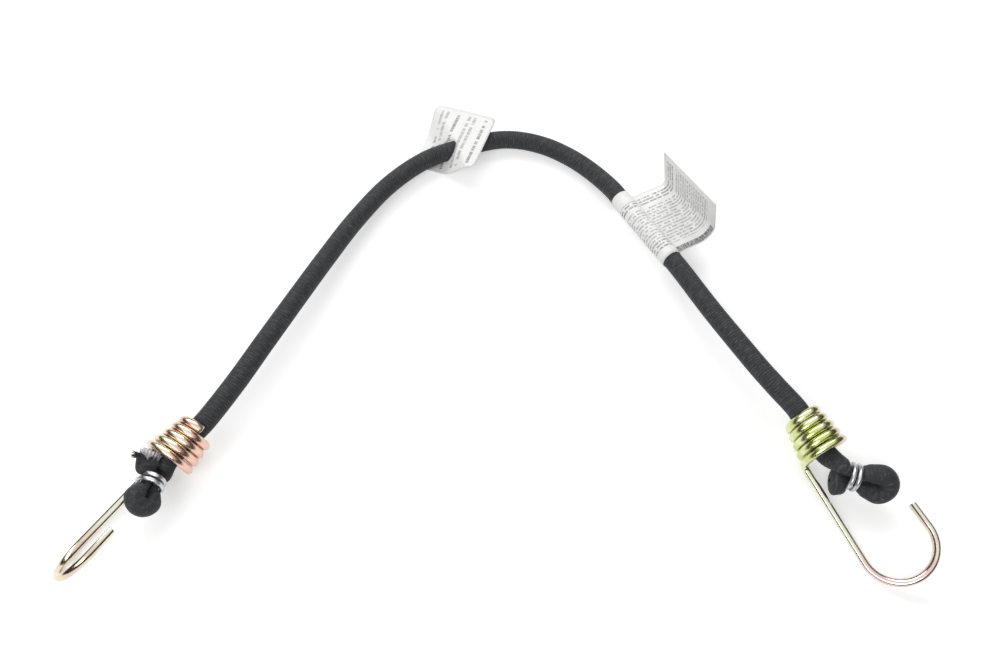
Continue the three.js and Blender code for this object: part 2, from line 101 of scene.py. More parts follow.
# Each end: the coil's mouth and how its hook lies, the ring and how the fold lies, the knob, the tail.
LEFT_END = {
    "mouth": Vector((-138.2, 15.0, 11.9)), "heading": -36.8, "dip": 3.0, "roll": 130.7,
    "ring": Vector((-143.1, 4.1, 13.0)), "fold_heading": -11, "fold_dip": -4, "fold_tilt": -48,
    "fold_centre": 6.5, "bulb": (7.9, 9.2), "bulb_offset": 4.0,
    "tail_back": 9.6, "tail_flare": 5.5, "tail_lift": 1.6, "tail": (10.6, 9.6),
}
RIGHT_END = {
    "mouth": Vector((137.7, 18.4, 11.9)), "heading": 25.7, "dip": 7.1, "roll": 155.2,
    "ring": Vector((147.6, 7.7, 11.5)), "fold_heading": 74, "fold_dip": 4, "fold_tilt": 50,
    "fold_centre": 10.2, "bulb": (8.6, 9.4), "bulb_offset": 4.4,
    "tail_back": 8.7, "tail_flare": 4.2, "tail_lift": 0.8, "tail": (13.4, 12.4),
}
ROUTE = [  # x, y and the height of the cord's underside, from the left coil to the right one
    (-115.1, 49.4, 9.9), (-104.9, 70.6, 9.9), (-93.6, 95.4, 8.6), (-82.5, 120.7, 6.2),
    (-70.1, 146.6, 4.0), (-54.4, 171.3, 2.4), (-35.7, 188.9, 1.5), (-12.2, 199.1, 1.0),
    (1.0, 203.1, 0.2), (11.6, 202.9, 0.0), (24.3, 199.0, 0.0), (36.4, 191.8, 0.0),
    (47.1, 182.1, 0.4), (58.1, 167.7, 1.7), (62.0, 160.4, 2.3), (72.5, 140.8, 4.0),
    (82.1, 122.8, 5.6), (86.0, 115.5, 6.2), (97.9, 90.5, 8.2), (106.9, 73.0, 9.6),
    (115.6, 57.0, 10.6), (121.5, 47.7, 10.7),
]
ARCH = [Vector((x, y, lift + REST_HEIGHT)) for x, y, lift in ROUTE]


def direction_of(heading, dip):
    """A unit vector that heads from -Y towards +X and dips below level, both in degrees."""
    turn, drop = math.radians(heading), math.radians(dip)
    return Vector((math.cos(drop) * math.sin(turn), -math.cos(drop) * math.cos(turn), -math.sin(drop)))


def frame_along(direction, turn):
    """A side vector, level at first and then turned about the direction, and a third square to both."""
    level = direction.cross(UP).normalized()
    side = Matrix.Rotation(math.radians(turn), 3, direction) @ level
    return side, direction.cross(side)


def fold_frame(end):
    along = direction_of(end["fold_heading"], end["fold_dip"])
    across, below = frame_along(along, end["fold_tilt"])
    return along, across, -below


def end_stations(end):
    """One end of the cord from its coil to its cut: places, ovals and the way each oval's width lies."""
    axis = direction_of(end["heading"], end["dip"])
    stations = [
        (end["mouth"] - axis * back, ROUND, UP)
        for back in (COIL_LENGTH + COIL_LEAD, COIL_LENGTH, COIL_LENGTH / 2, 0)
    ]
    along, across, face = fold_frame(end)

    def station(forward, sideways, oval, lift=0.0):
        place = end["ring"] + along * forward + across * sideways + face * lift
        stations.append((place, oval, face))

    station(-RING_HALF_LENGTH - LEAD_LENGTH, -LEAD_OFFSET, LEAD)
    station(-NECK_HALF_LENGTH, -LEG_OFFSET, NECK)
    station(NECK_HALF_LENGTH, -LEG_OFFSET, NECK)
    station(COLLAR_FORWARD, -COLLAR_OFFSET, COLLAR)
    station(SHOULDER_FORWARD, -SHOULDER_OFFSET, SHOULDER)
    for degrees in BULB_TURNS:
        turn = math.radians(degrees)
        forward = end["fold_centre"] + end["bulb_offset"] * math.cos(turn)
        station(forward, end["bulb_offset"] * math.sin(turn), end["bulb"])
    station(SHOULDER_FORWARD, SHOULDER_OFFSET, SHOULDER)
    station(COLLAR_FORWARD, COLLAR_OFFSET, COLLAR)
    station(NECK_HALF_LENGTH, LEG_OFFSET, NECK)
    station(-NECK_HALF_LENGTH, LEG_OFFSET, NECK)
    root_oval = [size * TAIL_ROOT_SHARE for size in end["tail"]]
    station(-TAIL_ROOT_BACK, end["tail_flare"] * TAIL_ROOT_SHARE, root_oval, end["tail_lift"] / 2)
    station(-end["tail_back"], end["tail_flare"], end["tail"], end["tail_lift"])
    return stations


def smooth_route(places, spacing):
    """A smooth line through the places, as a list of points for each stretch between two of them."""
    padded = [2 * places[0] - places[1], *places, 2 * places[-1] - places[-2]]
    stretches = []
    for before, here, there, after in zip(padded, padded[1:], padded[2:], padded[3:]):
        t0, t1, t2 = (math.sqrt((b - a).length) for a, b in ((before, here), (here, there), (there, after)))
        leave = ((here - before) / t0 - (there - before) / (t0 + t1) + (there - here) / t1) * t1
        reach = ((there - here) / t1 - (after - here) / (t1 + t2) + (after - there) / t2) * t1
        count = max(2, math.ceil((there - here).length / spacing))
        stretches.append(interpolate_bezier(here, here + leave / 3, there - reach / 3, there, count + 1))
    return stretches


def smooth_step(share):
    share = min(max(share, 0.0), 1.0)
    return share * share * (3 - 2 * share)


def cord_sections(spacing):
    """Sections along the whole cord: middle, half axes across and along the fold's face, distance run."""
    stations = [
        *reversed(end_stations(LEFT_END)),
        *((place, ROUND, UP) for place in ARCH),
        *end_stations(RIGHT_END),
    ]
    rows = []
    stretches = smooth_route([s[0] for s in stations], spacing)
    for stretch, (_, oval, face), (_, next_oval, next_face) in zip(stretches, stations, stations[1:]):
        for k, middle in enumerate(stretch[:-1]):
            share = smooth_step(k / (len(stretch) - 1))
            size = [a + (b - a) * share for a, b in zip(oval, next_oval)]
            rows.append((middle, size, face.lerp(next_face, share)))
    rows.append((stretches[-1][-1], *stations[-1][1:]))
    sections, run = [], 0.0
    for k, (middle, (thickness, width), face) in enumerate(rows):
        tangent = (rows[min(k + 1, len(rows) - 1)][0] - rows[max(k - 1, 0)][0]).normalized()
        across = face.cross(tangent).normalized()
        level = tangent.cross(across)
        run += (middle - rows[k - 1][0]).length if k else 0.0
        sections.append((middle, across * thickness / 2, level * width / 2, run))
    return sections


def rolled_tube(rings, sides):
    """A flat grid rolled into a tube, one column of the grid on each ring (middle, half axis, half axis,
    distance run). The attribute wrap keeps the turn round the tube and the distance run, for patterns."""
    tube = bmesh.new()
    bmesh.ops.create_grid(tube, x_segments=len(rings) - 1, y_segments=sides, size=0.5)
    wrap = tube.verts.layers.float_vector.new("wrap")
    for v in tube.verts:
        middle, across, level, run = rings[round((v.co.x + 0.5) * (len(rings) - 1))]
        turn = (v.co.y + 0.5) * 2 * math.pi
        v[wrap] = (math.cos(turn), math.sin(turn), run)
        v.co = middle + across * math.cos(turn) + level * math.sin(turn)
    bmesh.ops.remove_doubles(tube, verts=tube.verts, dist=WELD)
    bmesh.ops.recalc_face_normals(tube, faces=tube.faces)
    return tube


def piece_from(shape, name, material):
    """The finished shape, made in millimetres, as a smooth piece of the object in metres."""
    bmesh.ops.scale(shape, vec=Vector((MM, MM, MM)), verts=shape.verts)
    for face in shape.faces:
        face.smooth = True
    mesh = bpy.data.meshes.new(name)
    shape.to_mesh(mesh)
    shape.free()
    piece = bpy.data.objects.new(name, mesh)
    bpy.context.scene.collection.objects.link(piece)
    mesh.materials.append(material)
    return piece


def colour(hex_code):
    """An sRGB hex value as linear red, green, blue and alpha."""
    parts = [int(hex_code[k : k + 2], 16) / 255 for k in (1, 3, 5)]
    return [*(c / 12.92 if c <= 0.04045 else ((c + 0.055) / 1.055) ** 2.4 for c in parts), 1.0]


def new_material(name):
    material = bpy.data.materials.new(name)
    material.use_nodes = True
    material.node_tree.nodes.clear()
    return material


def add_node(material, kind, settings=None, **sockets):
    """A new node with its settings. A socket is given by its name or by its number (in_0), as a value or
    as an output to link."""
    node = material.node_tree.nodes.new("ShaderNode" + kind)
    for key, value in (settings or {}).items():
        setattr(node, key, value)
    for key, value in sockets.items():
        socket = node.inputs[int(key[3:]) if key.startswith("in_") else key.replace("_", " ")]
        if isinstance(value, bpy.types.NodeSocket):
            material.node_tree.links.new(value, socket)
        else:
            socket.default_value = value
    return node


def set_ramp(node, *stops):
    """Fills a colour ramp with stops, each a place and a hex colour or a plain level."""
    ramp = node.color_ramp
    while len(ramp.elements) < len(stops):
        ramp.elements.new(1.0)
    for element, (place, level) in zip(ramp.elements, stops):
        element.position = place
        element.color = colour(level) if isinstance(level, str) else (level, level, level, 1.0)
    return node.outputs["Color"]


# Dyed polyester yarn, braided: matt, with a soft sheen of loose fibre. The cross ribs, 1.2 mm apart, are
# in the shape; the yarns that make them slant to and fro, 24 to a turn, and show as small dashes. The
# dashes are painted lighter on the rib crests and darker between them, a painted glint and painted
# shade of the ribs laid on the braid's own yarn pattern. Over the folds the braid is pulled tight and
# its ribs and their painted glint fade.
RIB_PITCH = 1.2
RIB_HEIGHT = 0.05
YARNS_ROUND = 24
YARN_SLANT = 0.22  # how many ribs a yarn climbs across its own width
FOLD_RUN = (38.0, 58.0)  # from the cut end, where the ribs begin and where they are full
FOLD_RIBS = 0.2
# how strongly the dashes are painted lighter on the rib crests and darker between them: painted glint
RIB_GLINT_CONTRAST = 0.06

sections = cord_sections(RIB_PITCH / 4)
cord_length = sections[-1][3]

braid = new_material("braided_polyester")
wrap_at = add_node(braid, "Attribute", {"attribute_name": "wrap"}).outputs["Vector"]
wrap_parts = add_node(braid, "SeparateXYZ", Vector=wrap_at)
turn_at = add_node(
    braid, "Math", {"operation": "ARCTAN2"}, in_0=wrap_parts.outputs["Y"], in_1=wrap_parts.outputs["X"]
)
yarn_at = add_node(
    braid, "Math", {"operation": "MULTIPLY"}, in_0=turn_at.outputs[0], in_1=YARNS_ROUND / (2 * math.pi)
)
yarn_wave = add_node(braid, "Math", {"operation": "PINGPONG"}, in_0=yarn_at.outputs[0], in_1=1.0)
rib_at = add_node(braid, "Math", {"operation": "DIVIDE"}, in_0=wrap_parts.outputs["Z"], in_1=RIB_PITCH)
dash_at = add_node(
    braid, "Math", {"operation": "MULTIPLY_ADD"},
    in_0=yarn_wave.outputs[0], in_1=YARN_SLANT, in_2=rib_at.outputs[0],
)
dash_turn = add_node(braid, "Math", {"operation": "MULTIPLY"}, in_0=dash_at.outputs[0], in_1=2 * math.pi)
dash = add_node(braid, "Math", {"operation": "COSINE"}, in_0=dash_turn.outputs[0])
from_left = add_node(
    braid, "MapRange", {"interpolation_type": "SMOOTHSTEP"}, Value=wrap_parts.outputs["Z"],
    From_Min=FOLD_RUN[0], From_Max=FOLD_RUN[1], To_Min=FOLD_RIBS, To_Max=1.0,
)
from_right = add_node(
    braid, "MapRange", {"interpolation_type": "SMOOTHSTEP"}, Value=wrap_parts.outputs["Z"],
    From_Min=cord_length - FOLD_RUN[1], From_Max=cord_length - FOLD_RUN[0], To_Min=1.0, To_Max=FOLD_RIBS,
)
ribs_full = add_node(
    braid, "Math", {"operation": "MINIMUM"}, in_0=from_left.outputs[0], in_1=from_right.outputs[0]
)
# Painted glint and shade: the dash wave lightens the braid's colour on the rib crests and darkens it between
# them
painted_rib_glint = add_node(
    braid, "Math", {"operation": "MULTIPLY"}, in_0=dash.outputs[0], in_1=ribs_full.outputs[0]
)
yarn_cell = add_node(
    braid, "CombineXYZ", X=wrap_parts.outputs["X"], Y=wrap_parts.outputs["Y"], Z=rib_at.outputs[0]
)
yarn_noise = add_node(braid, "TexNoise", Vector=yarn_cell.outputs[0], Scale=1.6, Detail=4.0, Roughness=0.7)
# The yarns' own patchy tone, with the painted glint of the rib crests added on top
yarn_tone_and_glint = add_node(
    braid, "Math", {"operation": "MULTIPLY_ADD"},
    in_0=painted_rib_glint.outputs[0], in_1=RIB_GLINT_CONTRAST, in_2=yarn_noise.outputs[0],
)
braid_ramp = add_node(braid, "ValToRGB", Fac=yarn_tone_and_glint.outputs[0])
braid_colour = set_ramp(braid_ramp, (0.3, "#242527"), (0.52, "#323437"), (0.72, "#54575a"))
braid_rough = add_node(
    braid, "MapRange", Value=yarn_noise.outputs[0], From_Min=0.3, From_Max=0.7, To_Min=0.6, To_Max=0.8
)
braid_bump = add_node(braid, "Bump", Height=yarn_tone_and_glint.outputs[0], Strength=0.5, Distance=0.12 * MM)
braid_surface = add_node(
    braid, "BsdfPrincipled", Base_Color=braid_colour, Roughness=braid_rough.outputs[0],
    Normal=braid_bump.outputs[0], Sheen_Weight=0.2, Sheen_Roughness=0.45,
    Sheen_Tint=colour("#c9ccd2"), Specular_IOR_Level=0.35,
)
add_node(braid, "OutputMaterial", Surface=braid_surface.outputs[0])

# The right cut end is rounded and drawn almost shut over the core. The left one is open and ragged, and
# its edge is pulled back on the side that shows.
CLOSE_LENGTH = 2.4
CLOSE_HOLE = 0.15
RAG_LENGTH = 4.0
RAG_DEPTH = 0.5
RAGS = [(5, 1.0, 0.6), (11, 0.6, 0.0), (17, 0.4, 2.0)]  # points round the edge, height, phase
PULLED_BACK = 2.0
SLEEVE_SIDES = 28
BORE_STEP = 8  # sections of the outside to one of the bore
CUT_STEP = 4  # sections back from the cut, which give the way it faces


def kept_width(from_end):
    share = max(0.0, 1 - from_end / CLOSE_LENGTH)
    return max(CLOSE_HOLE, math.sqrt(1 - share * share))


def ragged_edge(turn):
    """How far the left cut edge stands out at a turn round the cord."""
    ragged = sum(height * math.sin(points * turn + phase) for points, height, phase in RAGS)
    return RAG_DEPTH * ragged - PULLED_BACK * (0.5 + 0.5 * math.sin(turn))


def rib_share(run):
    inside = min(run, cord_length - run) - FOLD_RUN[0]
    return FOLD_RIBS + (1 - FOLD_RIBS) * smooth_step(inside / (FOLD_RUN[1] - FOLD_RUN[0]))


outside, bore = [], []
for k, (middle, across, level, run) in enumerate(sections):
    keep = kept_width(cord_length - run)
    rib = RIB_HEIGHT * rib_share(run) * math.cos(2 * math.pi * run / RIB_PITCH)
    outside.append((middle, across * (keep + rib / across.length), level * (keep + rib / level.length), run))
    if k % BORE_STEP == 0 or cord_length - run < CLOSE_LENGTH:
        thin = [keep - SLEEVE_WALL * keep / half.length for half in (across, level)]
        bore.append((middle, across * thin[0], level * thin[1], run))
sleeve_shape = rolled_tube([*outside, *reversed(bore), outside[0]], SLEEVE_SIDES)
wrap = sleeve_shape.verts.layers.float_vector["wrap"]
outwards = (sections[0][0] - sections[CUT_STEP][0]).normalized()
for v in sleeve_shape.verts:
    x, y, run = v[wrap]
    if run < RAG_LENGTH:
        v.co += outwards * ragged_edge(math.atan2(y, x)) * (1 - run / RAG_LENGTH)
    v.co.z = max(v.co.z, 0.0)
sleeve = piece_from(sleeve_shape, "braided_sleeve", braid)
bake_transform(sleeve)
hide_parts("braided_sheath")

# Rubber core: natural rubber strands, extruded and left pale, that fill the sleeve from end to end. At
# the left cut end they stand out of the sleeve in a blunt bunch, each a little longer than the next.
STRAND_RINGS = 3  # rings of strands round the middle one, each with so many more than the last
STRANDS_MORE = 6
STRAND_SPACING = 1.06
STRAND_RADIUS = 0.52
STRAND_SIDES = 6
STRANDS_OUT = (1.8, 3.1)  # how far the outer and the middle strands stand out
STRANDS_UNEVEN = (-0.5, 0.7)
STRAND_FAN = 0.2  # how much further apart the strands stand at their tips
STRANDS_SHORT = 4.0  # how far the core ends inside the closed right end
CORE_STEP = 20  # sections of the sleeve to one of the core, and to one in the folds
CORE_FOLD_STEP = 3
CORE_FOLD_RUN = FOLD_RUN[1] + 10
BORE_RADIUS = CORD_DIAMETER / 2 - SLEEVE_WALL
RUBBER_GRAIN = 900.0  # spots of colour to a metre
rubber = new_material("natural_rubber")
rubber_noise = add_node(
    rubber, "TexNoise", Vector=add_node(rubber, "TexCoord").outputs["Object"],
    Scale=RUBBER_GRAIN, Detail=3.0,
)
rubber_ramp = add_node(rubber, "ValToRGB", Fac=rubber_noise.outputs[0])
rubber_colour = set_ramp(rubber_ramp, (0.3, "#c9c4cd"), (0.55, "#e9e5ec"), (0.75, "#f7f5f8"))
rubber_bump = add_node(rubber, "Bump", Height=rubber_noise.outputs[0], Strength=0.4, Distance=0.1 * MM)
rubber_surface = add_node(
    rubber, "BsdfPrincipled", Base_Color=rubber_colour, Roughness=0.6, IOR=1.52, Normal=rubber_bump.outputs[0]
)
add_node(rubber, "OutputMaterial", Surface=rubber_surface.outputs[0])

random.seed(7)
core_end = next(k for k, s in enumerate(sections) if s[3] > cord_length - STRANDS_SHORT)
core_sections = []
for k, section in enumerate(sections[:core_end]):
    in_fold = min(section[3], cord_length - section[3]) < CORE_FOLD_RUN
    if k % (CORE_FOLD_STEP if in_fold else CORE_STEP) == 0:
        core_sections.append(section)


def add_shape(target, shape):
    """Adds a shape to a larger one and frees it."""
    mesh = bpy.data.meshes.new("part")
    shape.to_mesh(mesh)
    shape.free()
    target.from_mesh(mesh)
    bpy.data.meshes.remove(mesh)


core = bmesh.new()
for ring in range(STRAND_RINGS + 1):
    in_ring = max(1, STRANDS_MORE * ring)
    for k in range(in_ring):
        turn = 2 * math.pi * k / in_ring
        x, y = (STRAND_SPACING * ring * wave(turn) / BORE_RADIUS for wave in (math.cos, math.sin))
        rings = []
        for middle, across, level, run in core_sections:
            wide = across * (1 - SLEEVE_WALL / across.length)
            tall = level * (1 - SLEEVE_WALL / level.length)
            thick = STRAND_RADIUS / BORE_RADIUS
            rings.append((middle + wide * x + tall * y, wide * thick, tall * thick, run))
        inner_share = 1 - ring / STRAND_RINGS
        stand_out = STRANDS_OUT[0] + (STRANDS_OUT[1] - STRANDS_OUT[0]) * smooth_step(inner_share)
        tip = rings[0][0] + outwards * (stand_out + random.uniform(*STRANDS_UNEVEN))
        tip += (rings[0][0] - sections[0][0]) * STRAND_FAN
        rings.insert(0, (tip, *rings[0][1:]))
        strand = rolled_tube(rings, STRAND_SIDES)
        bmesh.ops.holes_fill(strand, edges=strand.edges, sides=STRAND_SIDES)
        add_shape(core, strand)
strands = piece_from(core, "rubber_strands", rubber)
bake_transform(strands)
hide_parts(*(f"core_strand_{k}" for k in range(1, 8)))

# Frayed yarn: where the braid is cut at the left end, its polyester yarns come loose in tufts of stiff
# dark fibre. They stay rooted in the edge of the sleeve, most of them on the side that shows.
FIBRE_RADIUS = 0.28
FIBRE_TAPER = 0.6
FIBRE_SIDES = 5
FIBRE_RINGS = 5
FIBRE_ROOT = 0.4  # how deep a fibre sits in the sleeve
FIBRE_LENGTHS = (0.6, 1.1)  # shares of the tuft's reach
FIBRE_CURL = 0.5
FIBRE_DEPTHS = (0.84, 0.95)  # shares of the way from the sleeve's middle to its outside
FIBRE_GRAIN = 1500.0  # spots of colour to a metre
TUFT_SPREAD = 16  # degrees either way round the cut, and of lean
TUFT_LEAN = 22
TUFTS = [  # turn round the cut in degrees, lean outwards in degrees, reach, number of fibres
    (168, 108, 3.8, 80), (142, 98, 2.6, 70), (116, 92, 1.9, 50), (88, 10, 1.8, 10), (55, 12, 0.9, 8),
    (20, 25, 1.5, 8), (250, 30, 1.8, 10), (320, 30, 1.8, 8),
]
yarn = new_material("cut_polyester_yarn")
fibre_noise = add_node(
    yarn, "TexNoise", Vector=add_node(yarn, "TexCoord").outputs["Object"], Scale=FIBRE_GRAIN, Detail=2.0
)
fibre_ramp = add_node(yarn, "ValToRGB", Fac=fibre_noise.outputs[0])
fibre_colour = set_ramp(fibre_ramp, (0.35, "#1d1e20"), (0.65, "#3d3f42"))
fibre_bump = add_node(yarn, "Bump", Height=fibre_noise.outputs[0], Strength=0.3, Distance=0.05 * MM)
fibre_surface = add_node(
    yarn, "BsdfPrincipled", Base_Color=fibre_colour, Roughness=0.7, Normal=fibre_bump.outputs[0],
    Sheen_Weight=0.3, Sheen_Roughness=0.4,
)
add_node(yarn, "OutputMaterial", Surface=fibre_surface.outputs[0])

fray = bmesh.new()
cut_middle, cut_across, cut_level, _ = sections[0]
for tuft_turn, lean, reach, count in TUFTS:
    for _ in range(count):
        turn = math.radians(tuft_turn + random.uniform(-TUFT_SPREAD, TUFT_SPREAD))
        radial = cut_across * math.cos(turn) + cut_level * math.sin(turn)
        radial *= random.uniform(*FIBRE_DEPTHS)
        root = cut_middle + radial + outwards * ragged_edge(turn)
        tilt = math.radians(lean + random.uniform(-TUFT_LEAN, TUFT_LEAN))
        way = outwards * math.cos(tilt) + radial.normalized() * math.sin(tilt)
        curl = Vector((random.uniform(-1, 1) for _ in range(3))) * FIBRE_CURL
        length = reach * random.uniform(*FIBRE_LENGTHS)
        side = way.orthogonal().normalized()
        rings = []
        for k in range(FIBRE_RINGS):
            share = k / (FIBRE_RINGS - 1)
            middle = root + way * (length * share - FIBRE_ROOT) + curl * share * share
            radius = FIBRE_RADIUS * (1 - FIBRE_TAPER * share)
            rings.append((middle, side * radius, way.cross(side) * radius, share))
        fibre = rolled_tube(rings, FIBRE_SIDES)
        bmesh.ops.holes_fill(fibre, edges=fibre.edges, sides=FIBRE_SIDES)
        add_shape(fray, fibre)
left_fray = piece_from(fray, "left_fray", yarn)
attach(left_fray, "left_end")

# Wire hooks: 3.5 mm spring steel, wound on a cone round the cord and bent straight out of the last turn
# into shank, bend and tip. Zinc plated and yellow passivated after bending, so the film's tints drift.
HOOK_WIRE = 3.5
COIL_TAPER = 2.9
COIL_CLEARANCE = 0.35
COIL_SMALL_RADIUS = CORD_DIAMETER / 2 + COIL_CLEARANCE + HOOK_WIRE / 2
COIL_MOUTH_RADIUS = COIL_SMALL_RADIUS + COIL_TAPER
COIL_FULLNESS = 0.1  # the turns touch on the real hook: here each is this share wider along the axis,
COIL_FULL_FROM = 0.5  # fading in over one turn from here, in turns from the shank
SHANK_BEND_RADIUS = 3.8
SHANK_LENGTH = 45.3  # 0.4 less than the faceted solid's, whose flats cut the round bend short
HOOK_BEND_RADIUS = 14.5
TIP_LENGTH = 10.5
TIP_LEAN = 3.4
WIRE_SIDES = 20
STEPS_PER_TURN = 36
SHANK_BEND_STEPS = 10
HOOK_BEND_STEPS = 36
CUT_EDGE = 0.3  # how far a cut end's sharp edge is broken


def grow(shape, ring, centre, axis, angle, steps, climb=Vector()):
    """Spins a ring of edges on and returns the ring at its far end."""
    made = bmesh.ops.spin(
        shape, geom=[*ring, *{v for e in ring for v in e.verts}], cent=centre, axis=axis,
        dvec=climb / steps, angle=angle, steps=steps, use_merge=False, use_duplicate=False,
    )
    return [g for g in made["geom_last"] if isinstance(g, bmesh.types.BMEdge)]


def push(shape, ring, offset):
    """Extrudes a row or ring of edges along a straight line and returns the one at its far end."""
    made = bmesh.ops.extrude_edge_only(shape, edges=ring)["geom"]
    ends = [g for g in made if isinstance(g, bmesh.types.BMVert)]
    bmesh.ops.translate(shape, vec=offset, verts=ends)
    return [e for e in made if isinstance(e, bmesh.types.BMEdge) and all(v in ends for v in e.verts)]


def wire_end(shape, at, tangent, diameter, sides):
    """A ring of edges, the wire's section, square to the tangent."""
    place = Matrix.Translation(at) @ tangent.to_track_quat("Z", "Y").to_matrix().to_4x4()
    verts = bmesh.ops.create_circle(shape, segments=sides, radius=diameter / 2, matrix=place)["verts"]
    return list({e for v in verts for e in v.link_edges})


def close_wire(shape, *rings):
    """Caps the wire's two cut ends and breaks their sharp edge."""
    for ring in rings:
        bmesh.ops.contextual_create(shape, geom=ring)
    bmesh.ops.recalc_face_normals(shape, faces=shape.faces)
    bmesh.ops.bevel(
        shape, geom=[e for ring in rings for e in ring], offset=CUT_EDGE, offset_type="OFFSET", segments=2,
        profile=0.5, affect="EDGES", material=-1,
    )


def round_coil(angle):
    return Vector((-math.sin(angle), math.cos(angle), 0))


def hook_wire():
    """A hook along Z, with its coil's mouth at 0 and the hook's opening to +X."""
    shape = bmesh.new()
    all_turns = COIL_TURNS * 2 * math.pi
    climb = math.atan2(COIL_LENGTH, all_turns * (COIL_SMALL_RADIUS + COIL_MOUTH_RADIUS) / 2)
    step_out = SHANK_BEND_RADIUS * (1 - math.sin(climb))
    end_angle = math.pi - math.atan2(step_out, COIL_MOUTH_RADIUS)
    start_angle = end_angle - all_turns
    start = Vector((math.cos(start_angle), math.sin(start_angle), 0)) * COIL_MOUTH_RADIUS - UP * COIL_LENGTH
    tangent = round_coil(start_angle) * math.cos(climb) + UP * math.sin(climb)
    first = wire_end(shape, start, tangent, HOOK_WIRE, WIRE_SIDES)
    coil_steps = round(STEPS_PER_TURN * COIL_TURNS)
    last = grow(shape, first, Vector(), UP, all_turns, coil_steps, UP * COIL_LENGTH)
    for v in shape.verts:
        turns_run = (math.atan2(v.co.y, v.co.x) - start_angle) / (2 * math.pi)
        above_route = v.co.z + COIL_LENGTH - COIL_PITCH * turns_run
        off_middle = (above_route + COIL_PITCH / 2) % COIL_PITCH - COIL_PITCH / 2
        full_share = min(max((off_middle - v.co.z) / COIL_PITCH - COIL_FULL_FROM, 0.0), 1.0)
        radial = Vector((v.co.x, v.co.y, 0))
        v.co += radial.normalized() * COIL_TAPER * v.co.z / COIL_LENGTH
        v.co.z += off_middle * COIL_FULLNESS * full_share
    coil_end = Vector((math.cos(end_angle), math.sin(end_angle), 0)) * COIL_MOUTH_RADIUS
    forward = round_coil(end_angle)
    bend_centre = coil_end + SHANK_BEND_RADIUS * (UP * math.cos(climb) - forward * math.sin(climb))
    last = grow(shape, last, bend_centre, forward.cross(UP), math.pi / 2 - climb, SHANK_BEND_STEPS)
    last = push(shape, last, UP * (SHANK_LENGTH - bend_centre.z))
    shank_at = bend_centre + forward * SHANK_BEND_RADIUS
    hook_centre = Vector((shank_at.x + HOOK_BEND_RADIUS, shank_at.y, SHANK_LENGTH))
    turned = math.pi + math.radians(TIP_LEAN)
    last = grow(shape, last, hook_centre, Vector((0, 1, 0)), turned, HOOK_BEND_STEPS)
    last = push(shape, last, Vector((math.sin(turned), 0, math.cos(turned))) * TIP_LENGTH)
    close_wire(shape, first, last)
    return shape


def hook_frame(end):
    axis = direction_of(end["heading"], end["dip"])
    side, normal = frame_along(axis, -end["roll"])
    return Matrix((side, normal, axis)).transposed()


# The film's tints change over these stretches, in mm: along the hook from the coil's mouth to the shank
# and on to the bend, and across the coil to its right side.
TO_SHANK = (-2.0, 12.0)
TO_BEND = (30.0, 50.0)
TO_RIGHT = (2.0, 10.0)
TINT_PATCHES = (0.42, 0.6)  # levels of the drift between which one tint gives way to the other
TINT_DRIFT = 0.16  # patches of tint to a millimetre, and drawn streaks
DRAWN_STREAKS = 2.2
SHANK_BRIGHTER = 0.1  # how much less rough the shank is


def zinc_finish(name, end, coil_tint, coil_patch, coil_edge, shank_tint, bend_tint, bend_patch):
    """Bright zinc under a thin yellow film whose tint drifts along the wire and from one side of the coil
    to the other, with fine drawn streaks. The winding tool leaves the coil a little duller than the shank."""
    zinc = new_material(name)
    place = add_node(zinc, "Attribute", {"attribute_name": "hook_place"}).outputs["Vector"]
    along = add_node(zinc, "SeparateXYZ", Vector=place).outputs["Z"]
    drift = add_node(zinc, "TexNoise", Vector=place, Scale=TINT_DRIFT, Detail=2.0, Roughness=0.5)
    right_way = hook_frame(end).inverted() @ Vector((1, 0, 0))
    right_way.z = 0
    to_right = add_node(zinc, "VectorMath", {"operation": "DOT_PRODUCT"}, in_0=place, in_1=right_way)
    from_coil, to_bend, patch, edge = (
        add_node(
            zinc, "MapRange", {"interpolation_type": "SMOOTHSTEP"}, Value=value, From_Min=low, From_Max=high
        ).outputs[0]
        for value, (low, high) in (
            (along, TO_SHANK), (along, TO_BEND), (drift.outputs[0], TINT_PATCHES),
            (to_right.outputs["Value"], TO_RIGHT),
        )
    )
    coil_colour, bend_colour = (
        add_node(zinc, "Mix", {"data_type": "RGBA"}, in_0=patch, in_6=colour(tint), in_7=colour(other_tint))
        for tint, other_tint in ((coil_tint, coil_patch), (bend_tint, bend_patch))
    )
    whole_colour = coil_colour.outputs[2]
    for share, tint in (
        (edge, colour(coil_edge)), (from_coil, colour(shank_tint)), (to_bend, bend_colour.outputs[2]),
    ):
        mixed = add_node(zinc, "Mix", {"data_type": "RGBA"}, in_0=share, in_6=whole_colour, in_7=tint)
        whole_colour = mixed.outputs[2]
    streak = add_node(zinc, "TexNoise", Vector=place, Scale=DRAWN_STREAKS, Detail=4.0, Roughness=0.6)
    scuffed = add_node(
        zinc, "MapRange", Value=streak.outputs[0], From_Min=0.3, From_Max=0.7, To_Min=0.2, To_Max=0.34
    )
    rough = add_node(
        zinc, "Math", {"operation": "MULTIPLY_ADD"},
        in_0=from_coil, in_1=-SHANK_BRIGHTER, in_2=scuffed.outputs[0],
    )
    bump = add_node(zinc, "Bump", Height=streak.outputs[0], Strength=0.15, Distance=0.05 * MM)
    surface = add_node(
        zinc, "BsdfPrincipled", Base_Color=whole_colour, Metallic=1.0,
        Roughness=rough.outputs[0], Normal=bump.outputs[0],
    )
    add_node(zinc, "OutputMaterial", Surface=surface.outputs[0])
    return zinc


def placed_hook(end, name, finish, body, node):
    shape = hook_wire()
    own = shape.verts.layers.float_vector.new("hook_place")
    for v in shape.verts:
        v[own] = v.co
    place = Matrix.Translation(end["mouth"]) @ hook_frame(end).to_4x4()
    bmesh.ops.transform(shape, matrix=place, verts=shape.verts)
    hook = piece_from(shape, name, finish)
    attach(hook, body)
    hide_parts(node)


